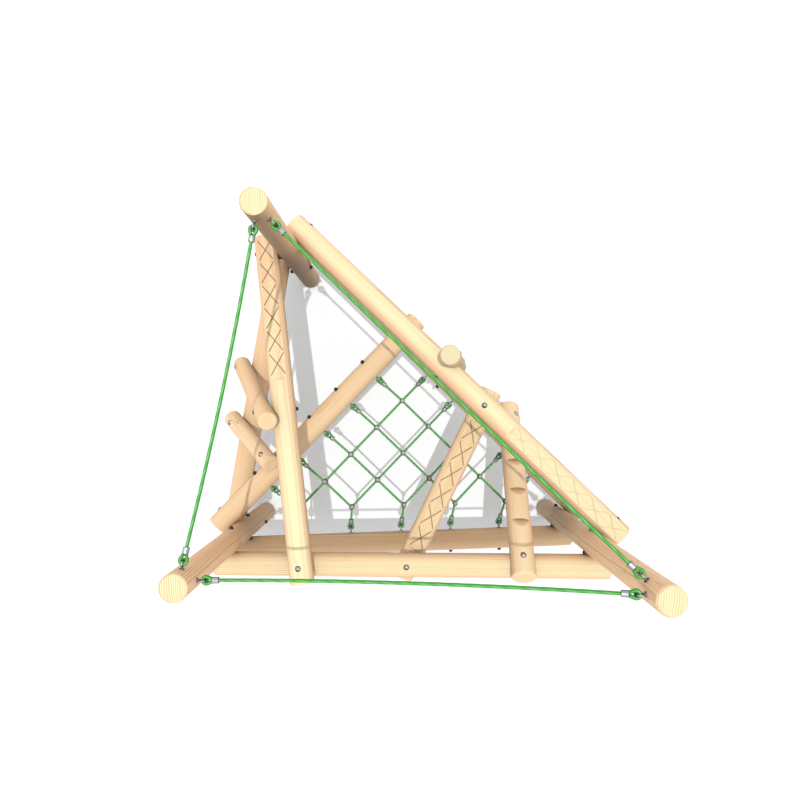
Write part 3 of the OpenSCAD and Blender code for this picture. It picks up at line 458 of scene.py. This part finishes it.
def logWood(name, values, look, cells, ramps):
    s = Shader(bpy.data.materials.new(name + "Wood"))
    axes = logAxes(values)
    length = (Vector(values["to"]) - Vector(values["from"])).length
    figure = values.get("figure", 1.0)
    seed = sum(ord(letter) for letter in name) % 97 * 0.37  # so each log has its own grain
    local = s.node(
        "ShaderNodeMapping",
        {"vector_type": "TEXTURE"},
        {"Vector": s.place(), "Location": values["from"], "Rotation": axes.to_euler()},
    )
    x, y, z = s.parts(local)
    moved = s.vector("ADD", local, (seed, seed * 1.7, seed * 2.3))
    above = s.facing(up)

    def ramp(value, kind):
        return s.step(value, *ramps[kind])

    def stretched(kind):
        across, along = cells[kind]
        return s.vector("MULTIPLY", moved, (across, across, along))

    def grain(kind, detail=2.0, roughness=0.5):
        return s.noise(stretched(kind), 1.0, detail, roughness)

    endFace = ramp(abs(s.facing(axes.col[2])), "endFace")

    # year rings round a heart that lies outside the log
    turn = math.radians(values["heart"])
    dx = x - look["heart"] * math.cos(turn)
    dy = y - look["heart"] * math.sin(turn)
    wander = (grain("wander", 1.5) - 0.5) * (2 * look["wander"])
    waver = (grain("waver", 1.0) - 0.5) * look["waver"]
    rings = ((dx * dx + dy * dy).math("SQRT") + wander + waver) / look["ringWidth"]
    ring = (rings + 0.25).math("FLOOR")  # each ring starts where late wood is faintest
    each = s.node("ShaderNodeTexWhiteNoise", {"noise_dimensions": "1D"}, {"W": ring})
    least = look["lateLeast"]
    late = rings.wave(1) ** look["lateSharp"] * (each * (1 - least) + least)
    broad = rings.wave(look["ringBand"])

    # fibres and slow changes of tone
    fibre = grain("fibres", 3.0, 0.6)
    warmth = ramp(grain("tone"), "tone") * look["toneWarm"] + values.get("warmth", 0.25)
    colour = s.mix(warmth + broad * look["bandWarm"], look["pale"], look["warm"])
    colour = s.mix(late * look["lateLine"] * figure, colour, look["line"])
    streak = ramp(grain("streaks"), "streaks")
    colour = s.mix(streak * look["fibreLine"], colour, look["line"])
    colour = s.mix(ramp(fibre, "fibres") * look["fibreLine"], colour, look["line"])

    # fine drying cracks along the fibres
    crack = s.node(
        "ShaderNodeTexVoronoi",
        {"feature": "DISTANCE_TO_EDGE"},
        {"Vector": stretched("cracks"), "Scale": 1.0, "Randomness": 1.0},
    )
    rare = ramp(grain("cracked", 1.0), "cracked")
    crack = (1 - ramp(crack, "crackWidth")) * rare * (1 - endFace)
    colour = s.mix(crack * look["crackLine"], colour, look["groove"])

    # painted light on the upper sides; darker end grain with painted shade on the faces of
    # notches and shoulders
    # painted light: the more a surface faces up, the lighter it is painted
    first, last = values.get("paintedLight", (1, 1))
    paintedLight = s.step(above, *values.get("edge", ramps["paintedLight"]))
    paintedLight = paintedLight * (first + (last - first) / length * z)
    # painted shade: the side facing this way gets no painted light
    if "shaded" in values:
        paintedLight = paintedLight * (1 - ramp(s.facing(values["shaded"]), "shaded"))
    band = broad * (1 - endFace) * look["bandPale"] * figure
    light = s.mix(band, look["paintedLitTone"], look["warm"])
    paleLate = late * (look["latePale"] + look["lateEnd"] * endFace) * figure
    light = s.mix(paleLate, light, look["paintedLitLine"])
    colour = s.mix(paintedLight * look["paintedLightMost"], colour, light)
    # painted shade, with darker end grain, on the faces of notches and shoulders, not on the
    # log's own ends
    within = ramp(z, "notch") * ramp(length - z, "notch")
    colour = s.mix(endFace * within * look["cutLine"], colour, look["cut"])

    if "ticks" in values:  # small marks of the saw round one half of the post's rim
        around = (y.math("ARCTAN2", x) * values["ticks"]).math("SINE")
        rim = ramp((x * x + y * y).math("SQRT"), "sawRim") * ramp(above, "sawTop")
        rim = rim * ramp(0 - x, "sawSide")
        colour = s.mix(rim * ramp(around, "ticks") * look["tickLine"], colour, look["line"])
    # painted shade on the side that faces this way
    if "paintedShadeSide" in values:
        towards, amount = values["paintedShadeSide"]
        darkSide = ramp(s.facing(towards), "paintedShadeSide") * (1 - ramp(above, "paintedShadeTop"))
        colour = s.mix(darkSide * amount, colour, look["paintedShadeTone"])
    # painted shade: posts darker low down, logs darker on their lower sides
    if "foot" in values:
        foot = s.step(z, look["footEnd"] - look["footFade"], look["footEnd"])
        lower = (1 - foot) * values["foot"]
    else:
        under = values.get("under", look["under"])
        lower = (1 - ramp(above, "under")) * under * (1 - endFace)
    colour = s.mix(lower, colour, look["paintedLowShade"], "MULTIPLY")

    height = fibre * look["fibreHeight"] + late * look["lateHeight"]
    height = height - crack * look["crackHeight"]
    if "flat" in values:
        cut, marks = flatMarks(s, x, y, z, moved, values, flatSizes)
        # painted shade in and along the crossed cuts
        colour = s.mix(cut * values["groove"], colour, look["groove"])
        colour = s.mix(marks * flatSizes["markLine"], colour, look["line"])
        height = height - marks * look["markHeight"]

    bounced = s.mix(s.ray("Is Diffuse Ray") * (1 - look["bounce"]), white, black)
    roughness = look["roughness"] + look["fibreRough"] * fibre - look["lateSmooth"] * late
    return s.surface(
        {
            "Base Color": s.mix(1.0, colour, bounced, "MULTIPLY"),
            "Roughness": roughness + look["endRough"] * endFace,
            "Specular IOR Level": look["shine"],
            "Normal": s.bump(height, look["bumpDepth"], look["bumpStrength"]),
        }
    )


def solidMiddle(node, near):  # of the solid of a group that is nearest to a point
    size = 0.06  # metres; the solids are smaller, and further than this from each other
    points = np.array([tuple(v.co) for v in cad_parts[node].data.vertices])
    nearest = points[np.linalg.norm(points - np.array(near), axis=1).argmin()]
    solid = points[np.linalg.norm(points - nearest, axis=1) < size]
    return Vector((solid.min(axis=0) + solid.max(axis=0)) / 2)


def netGrid(rows):  # the first knot, and the steps to the next along the net log and the beam
    low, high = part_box("net_clamps")
    first = solidMiddle("net_clamps", ((low.x + high.x) / 2, high.y, low.z))
    left = solidMiddle("net_clamps", (low.x, low.y, high.z))
    right = solidMiddle("net_clamps", (high.x, low.y, low.z))
    return first, (left - first) / (rows - 1), (right - first) / (rows - 1)


steelLook = {
    "bright": (0.58, 0.585, 0.59, 1),
    "plain": (0.5, 0.5, 0.49, 1),
    "dark": (0.05, 0.052, 0.05, 1),  # painted shade: the tone of the steel parts that stand in shade, also in the dull places of the others
    "grime": (0.03, 0.028, 0.025, 1),  # painted shade on the sides and below
    "grimy": 0.9,
    "rimShade": 0.8,
    "cloudRamp": (0.35, 0.7),  # where a noise starts to dull the steel, and is whole
    "cloudDull": 0.3,
    "flakeDull": 0.18,
    "sideRamp": (0.1, 0.45),
    "roughness": 0.3,
    "flakeRough": 0.1,
    "scratchRough": 0.14,
    "cloudCells": 90.0,  # for each metre
    "scratchCells": (900, 900, 160),
    "bumpDepth": 0.0002,
    "bumpStrength": 0.5,
    "flakeHeight": 0.4,
}

# Spangle is in flakes for each metre, and clean is how far up a surface has to face to lose
# its painted shade, from none to all
metals = {
    "netMetal": {
        "nodes": ("net_ferrules",), "tone": "plain", "spangle": 900.0, "shadeFadeRamp": (0.3, 0.95),
    },
    "pressedMetal": {
        "nodes": ("hand_rope_ferrules",), "tone": "bright", "spangle": 900.0,
        "shadeFadeRamp": (0.1, 0.85),
    },
    "eyeSteel": {
        "nodes": ("hand_rope_eye_bolts", "net_eye_bolts"), "tone": "bright", "spangle": 500.0,
        "shadeFadeRamp": (0.3, 0.85),
    },
    "domeSteel": {
        "nodes": ("log_bolts",), "tone": "plain", "spangle": 500.0, "shadeFadeRamp": (0.3, 0.85),
        "darkSide": (-0.25, -0.97, 0),  # direction in which the domes are painted in shade
    },
    "clampSteel": {
        "nodes": ("net_clamps",), "tone": "plain", "spangle": 500.0, "shadeFadeRamp": (0.3, 0.85),
        "rougher": 0.3, "rim": (0.0115, 0.0135),  # radius where the painted shade round the rim starts
    },
    # steel painted dark, as it stands in shade
    "darkSteel": {
        "nodes": (
            "post_bolts", "post_bolt_nuts", "log_bolt_nuts", "hand_rope_thimbles",
            "hand_rope_nuts", "net_thimbles", "net_nuts",
        ),
        "tone": "dark", "spangle": 500.0, "shadeFadeRamp": (0.2, 0.9),
    },
}


def clampRim(s, place, grid, rim):  # 1 near the edge of each clamp of the net, where shade is painted
    first, byLog, byBeam = grid
    local = s.vector("SUBTRACT", place, first)
    steps = []
    for way in (byLog, byBeam):
        across = s.vector("DOT_PRODUCT", local, way / way.length_squared, 1)
        steps.append((across + 0.5).math("FRACT") - 0.5)
    away = (steps[0] * steps[0] + steps[1] * steps[1]).math("SQRT") * byLog.length
    return s.step(away, *rim)


def steel(name, values, look, grid):  # painted shade on the sides and below, none on top
    s = Shader(bpy.data.materials.new(name))
    place = s.place()
    sockets = {"Vector": place, "Scale": values["spangle"]}
    flake = s.parts(s.node("ShaderNodeTexVoronoi", (), sockets, 1))[0]
    cloud = s.noise(place, look["cloudCells"], 3.0)
    scratch = s.noise(s.vector("MULTIPLY", place, look["scratchCells"]), 1.0, 2.0)
    dull = s.step(cloud, *look["cloudRamp"]) * look["cloudDull"] + flake * look["flakeDull"]
    colour = s.mix(dull, look[values["tone"]], look["dark"])
    # painted shade on surfaces that face sideways or down
    low = 1 - s.step(s.facing(up), *values["shadeFadeRamp"])
    colour = s.mix(low * look["grimy"], colour, look["grime"])
    # painted shade on one side of the domes
    if "darkSide" in values:
        side = s.step(s.facing(values["darkSide"]), *look["sideRamp"])
        colour = s.mix(side * look["grimy"], colour, look["grime"])
    # painted shade round each clamp's edge
    if "rim" in values:
        rim = clampRim(s, place, grid, values["rim"])
        colour = s.mix(rim * look["rimShade"], colour, look["grime"])
    roughness = look["roughness"] + values.get("rougher", 0.0) + flake * look["flakeRough"]
    height = scratch + flake * look["flakeHeight"]
    return s.surface(
        {
            "Base Color": colour,
            "Metallic": 1.0,
            "Roughness": roughness + scratch * look["scratchRough"],
            "Normal": s.bump(height, look["bumpDepth"], look["bumpStrength"]),
        }
    )


ropeLook = {
    "handColour": (0.035, 0.40, 0.03, 1),
    "handDark": (0.008, 0.15, 0.008, 1),
    "netColour": (0.045, 0.31, 0.06, 1),
    "netDark": (0.01, 0.09, 0.015, 1),
    "highlightAndFuzz": (0.24, 0.74, 0.18, 1),  # painted highlight along the top, and the paler colour of the fuzz
    "topHighlight": 0.55,
    "topHighlightRamp": (0.86, 0.99),  # how far up a surface faces, for the painted highlight
    "fuzz": 0.12,
    "fuzzRamp": (0.6, 0.8),
    "valleyDark": 0.75,  # how much painted shade valleys, yarns' sides and undersides get, and how dark the clouds are
    "yarnDark": 0.22,
    "cloudDark": 0.2,
    "cloudRamp": (0.4, 0.75),
    "underDark": 0.6,
    "underRamp": (0.05, 0.8),
    "yarns": 9,  # yarns that show on each strand
    "yarnLean": 260,  # how askew they lie
    "valley": (0.62, 1.0),  # where the painted shade between two strands starts and ends
    "fuzzCells": 1400.0,  # for each metre
    "cloudCells": 22.0,
    "roughness": 0.36,
    "yarnSmooth": 0.1,
    "fuzzRough": 0.1,
    "shine": 0.45,
    "bumpDepth": 0.0002,
    "bumpStrength": 0.2,
    "yarnHeight": 0.6,  # against the depth of the valleys
    "fuzzHeight": 0.2,
}

# The end loops of all ropes; lengths in metres
loopSizes = {
    "hole": 0.0065,  # radius inside the thimble
    "wall": 0.002,  # of the thimble
    "reach": 0.0301,  # from the middle of a thimble to its ferrule
    "side": 0.0081,  # from the ferrule's middle line to each leg of the loop
    "bends": 28,
}

handRopeSizes = {
    "radius": 0.009,
    "strands": 6,
    "depth": 0.4,  # of the valleys between the strands, where 1 is that of round strands
    "lay": 0.5,  # a strand goes round once in this length
    "step": 0.006,  # length of each ring of faces
    "facets": 6,  # faces round each strand
    "ferrule": 0.032,  # its length
    "inFerrule": 0.004,  # how far the rope goes into it
    "sag": 0.058,
    "spans": 60,
    "fromPost": 0.11,  # a thimble is about this far from the middle of its post
    "belowTop": 0.1,
}

netSizes = {
    "radius": 0.008,
    "strands": 6,
    "depth": 0.6,
    "lay": 0.2,
    "step": 0.006,
    "facets": 4,
    "ferrule": 0.026,
    "inFerrule": 0.003,
    "rows": 5,
    "layer": 0.0081,  # upper ropes lie this far above the knots' middles, lower ones below
}

# Each hand rope runs from the first post to the second
handRopePosts = {
    "left_hand_rope": ("back_post", "front_left_post"),
    "right_hand_rope": ("back_post", "front_right_post"),
    "front_hand_rope": ("front_left_post", "front_right_post"),
}


def loopRoute(middle, leaves, radius):  # out of the ferrule, round the thimble and back
    run = loopSizes["reach"]
    side = loopSizes["side"]
    big = loopSizes["hole"] + loopSizes["wall"] + radius
    level = (up - up.dot(leaves) * leaves).normalized()
    across = level.cross(leaves)
    turn = math.atan2(side, run) + math.acos(big / math.hypot(run, side))
    count = loopSizes["bends"]
    bend = [turn + (2 * math.pi - 2 * turn) * k / count for k in range(count + 1)]
    flat = [(run, side), (run - radius / 2, side)]
    flat += [(big * math.cos(a), big * math.sin(a)) for a in bend]
    flat += [(run - radius / 2, -side), (run, -side)]
    return [middle + leaves * x + across * y for x, y in flat]


def evenPoints(route, step):  # the same route with a point every step or so
    points = np.array([tuple(p) for p in route])
    run = np.concatenate([[0], np.cumsum(np.linalg.norm(np.diff(points, axis=0), axis=1))])
    count = max(4, int(round(run[-1] / step)))
    at = np.linspace(0, run[-1], count + 1)
    return np.stack([np.interp(at, run, points[:, k]) for k in range(3)], 1), at


def strandTube(route, sizes, startTurn):  # rings of a rope laid from round strands
    points, at = evenPoints(route, sizes["step"])
    tangents = np.gradient(points, axis=0)
    tangents /= np.linalg.norm(tangents, axis=1)[:, None]
    normal = np.cross(tangents[0], (0, 0, 1.0))
    normals = []
    for tangent in tangents:  # carried along without twist
        normal = normal - tangent * (normal @ tangent)
        normal /= np.linalg.norm(normal)
        normals.append(normal)
    normals = np.array(normals)
    sides = sizes["strands"] * sizes["facets"]
    angles = np.arange(sides) * 2 * math.pi / sides
    strandRadius = sizes["radius"] / 3 * 1.06  # a little over a third, so that strands touch
    centre = sizes["radius"] - strandRadius
    across = (angles + math.pi / sizes["strands"]) % (2 * math.pi / sizes["strands"])
    across -= math.pi / sizes["strands"]
    inner = np.maximum(strandRadius**2 - (centre * np.sin(across)) ** 2, 0)
    lobes = centre * np.cos(across) + np.sqrt(inner)
    profile = sizes["radius"] + (lobes - sizes["radius"]) * sizes["depth"]
    lay = startTurn + at * 2 * math.pi / sizes["lay"]
    a = angles[None, :] + lay[:, None]
    binormals = np.cross(tangents, normals)
    rings = points[:, None, :] + profile[None, :, None] * (
        np.cos(a)[:, :, None] * normals[:, None, :]
        + np.sin(a)[:, :, None] * binormals[:, None, :]
    )
    return rings, at, across * sizes["strands"] / math.pi


def ropeObject(name, routes, sizes, material, replaced):
    startTurn = 0.7  # radians; each next rope's strands start this much further round
    startAlong = 0.37  # metres; and its yarns this much further along
    vertices, faces, alongs, arounds = [], [], [], []
    base = 0
    for k, route in enumerate(routes):
        rings, at, across = strandTube(route, sizes, k * startTurn)
        count, sides = rings.shape[:2]
        vertices.append(rings.reshape(-1, 3))
        alongs.append(np.repeat(at + k * startAlong, sides))
        arounds.append(np.tile(across, count))
        for ring in range(count - 1):
            for side in range(sides):
                a = base + ring * sides + side
                b = base + ring * sides + (side + 1) % sides
                faces.append((a, b, b + sides, a + sides))
        faces.append(tuple(base + side for side in reversed(range(sides))))
        faces.append(tuple(base + (count - 1) * sides + side for side in range(sides)))
        base += count * sides
    mesh = bpy.data.meshes.new(name)
    mesh.from_pydata(np.concatenate(vertices).tolist(), [], faces)
    for label, values in (("along", alongs), ("across", arounds)):
        layer = mesh.attributes.new(label, "FLOAT", "POINT")
        layer.data.foreach_set("value", np.concatenate(values).astype(np.float32))
    mesh.shade_smooth()
    mesh.materials.append(material)
    rope = bpy.data.objects.new(name, mesh)
    scene.collection.objects.link(rope)
    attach(rope, "root")
    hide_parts(replaced)


def ropeYarn(name, look, colour, dark):
    s = Shader(bpy.data.materials.new(name))
    along = s.node("ShaderNodeAttribute", {"attribute_name": "along"}, (), 2)
    across = s.node("ShaderNodeAttribute", {"attribute_name": "across"}, (), 2)
    place = s.place()
    above = s.facing(up)
    yarn = (across * look["yarns"] + along * look["yarnLean"]).math("SINE") * 0.5 + 0.5
    valley = s.step(abs(across), *look["valley"])
    fuzz = s.noise(place, look["fuzzCells"], 2.0)
    cloud = s.noise(place, look["cloudCells"], 2.0)
    # painted shade in the valleys and on the yarns' sides
    deep = valley * look["valleyDark"] + (1 - yarn) * look["yarnDark"]
    under = 1 - s.step(above, *look["underRamp"])
    mixed = s.mix(deep, colour, dark)
    mixed = s.mix(s.step(cloud, *look["cloudRamp"]) * look["cloudDark"], mixed, dark)
    # painted shade on the undersides
    mixed = s.mix(under * look["underDark"], mixed, dark)
    # painted highlight along the top of the rope
    mixed = s.mix(s.step(above, *look["topHighlightRamp"]) * look["topHighlight"], mixed, look["highlightAndFuzz"])
    mixed = s.mix(s.step(fuzz, *look["fuzzRamp"]) * look["fuzz"], mixed, look["highlightAndFuzz"])
    roughness = look["roughness"] - look["yarnSmooth"] * yarn + look["fuzzRough"] * fuzz
    height = yarn * look["yarnHeight"] + fuzz * look["fuzzHeight"] - valley
    return s.surface(
        {
            "Base Color": mixed,
            "Roughness": roughness,
            "Specular IOR Level": look["shine"],
            "Normal": s.bump(height, look["bumpDepth"], look["bumpStrength"]),
        }
    )


def handRopeEnd(post, other, sizes):  # middle of a post's thimble that faces another post
    top = Vector(logs[post]["to"])
    way = Vector(logs[other]["to"]) - top
    way.z = 0
    near = top + way.normalized() * sizes["fromPost"] - up * sizes["belowTop"]
    return solidMiddle("hand_rope_thimbles", near)


def handRopeRoutes(start, end, sizes):
    def point(t):  # 0 at the start and 1 at the end
        return start + (end - start) * t - up * (4 * sizes["sag"] * t * (1 - t))

    leavesStart = (point(0.02) - start).normalized()
    leavesEnd = (point(0.98) - end).normalized()
    reach = loopSizes["reach"] + sizes["ferrule"]
    inset = reach / (end - start).length
    spans = sizes["spans"]
    body = [start + leavesStart * (reach - sizes["inFerrule"])]
    body += [point(inset + (1 - 2 * inset) * k / spans) for k in range(1, spans)]
    body += [end + leavesEnd * (reach - sizes["inFerrule"])]
    radius = sizes["radius"]
    return [body, loopRoute(start, leavesStart, radius), loopRoute(end, leavesEnd, radius)]


def netRoutes(grid, sizes):
    rows = sizes["rows"]
    corner, byLog, byBeam = grid
    layer = up * sizes["layer"]
    reach = loopSizes["reach"] + sizes["ferrule"] - sizes["inFerrule"]
    loops, ropes = [], []

    def knot(i, j):
        return corner + byLog * i + byBeam * j

    def leave(near, towards):  # where a rope leaves its ferrule; its end loop is added
        middle = solidMiddle("net_thimbles", near)
        way = (towards - middle).normalized()
        loops.append(loopRoute(middle, way, sizes["radius"]))
        return middle + way * reach

    for i in range(rows):  # upper ropes, from the net log
        knots = [knot(i, j) + layer for j in range(rows - i)]
        first = leave(knot(i, -1), knots[0])
        before = knots[-2] if len(knots) > 1 else first
        knots[-1] = knots[-1] + (knots[-1] - before).normalized() * sizes["radius"]
        ropes.append([first] + knots)
    for j in range(rows):  # lower ropes, from the right beam on to the front beam
        knots = [knot(i, j) - layer for i in range(rows - j)]
        first = leave(knot(-1, j), knots[0])
        last = leave(knots[-1], knots[-1])
        ropes.append([first] + knots + [last])
    return ropes + loops


def dress(node, material):
    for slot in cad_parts[node].material_slots:
        slot.material = material


makeCamera(cameraPlace)
makeSun(studio)
makeSky(studio)
makeFloor(studio)
print("studio: camera, sun, sky and floor")

for name, values in logs.items():
    dress(name, logWood(name, values, woodLook, woodCells, woodRamps))
print("wood:", len(logs), "logs")

knotGrid = netGrid(netSizes["rows"])
for name, values in metals.items():
    metal = steel(name, values, steelLook, knotGrid)
    for node in values["nodes"]:
        dress(node, metal)
print("steel: bolts, nuts, eye bolts, thimbles, ferrules and clamps")

handYarn = ropeYarn("handRopeYarn", ropeLook, ropeLook["handColour"], ropeLook["handDark"])
netYarn = ropeYarn("netRopeYarn", ropeLook, ropeLook["netColour"], ropeLook["netDark"])
for name, (post, other) in handRopePosts.items():
    start = handRopeEnd(post, other, handRopeSizes)
    end = handRopeEnd(other, post, handRopeSizes)
    routes = handRopeRoutes(start, end, handRopeSizes)
    ropeObject(name + "_laid", routes, handRopeSizes, handYarn, name)
routes = netRoutes(knotGrid, netSizes)
ropeObject("net_laid", routes, netSizes, netYarn, "net_ropes")
print("ropes: three hand ropes and the net")
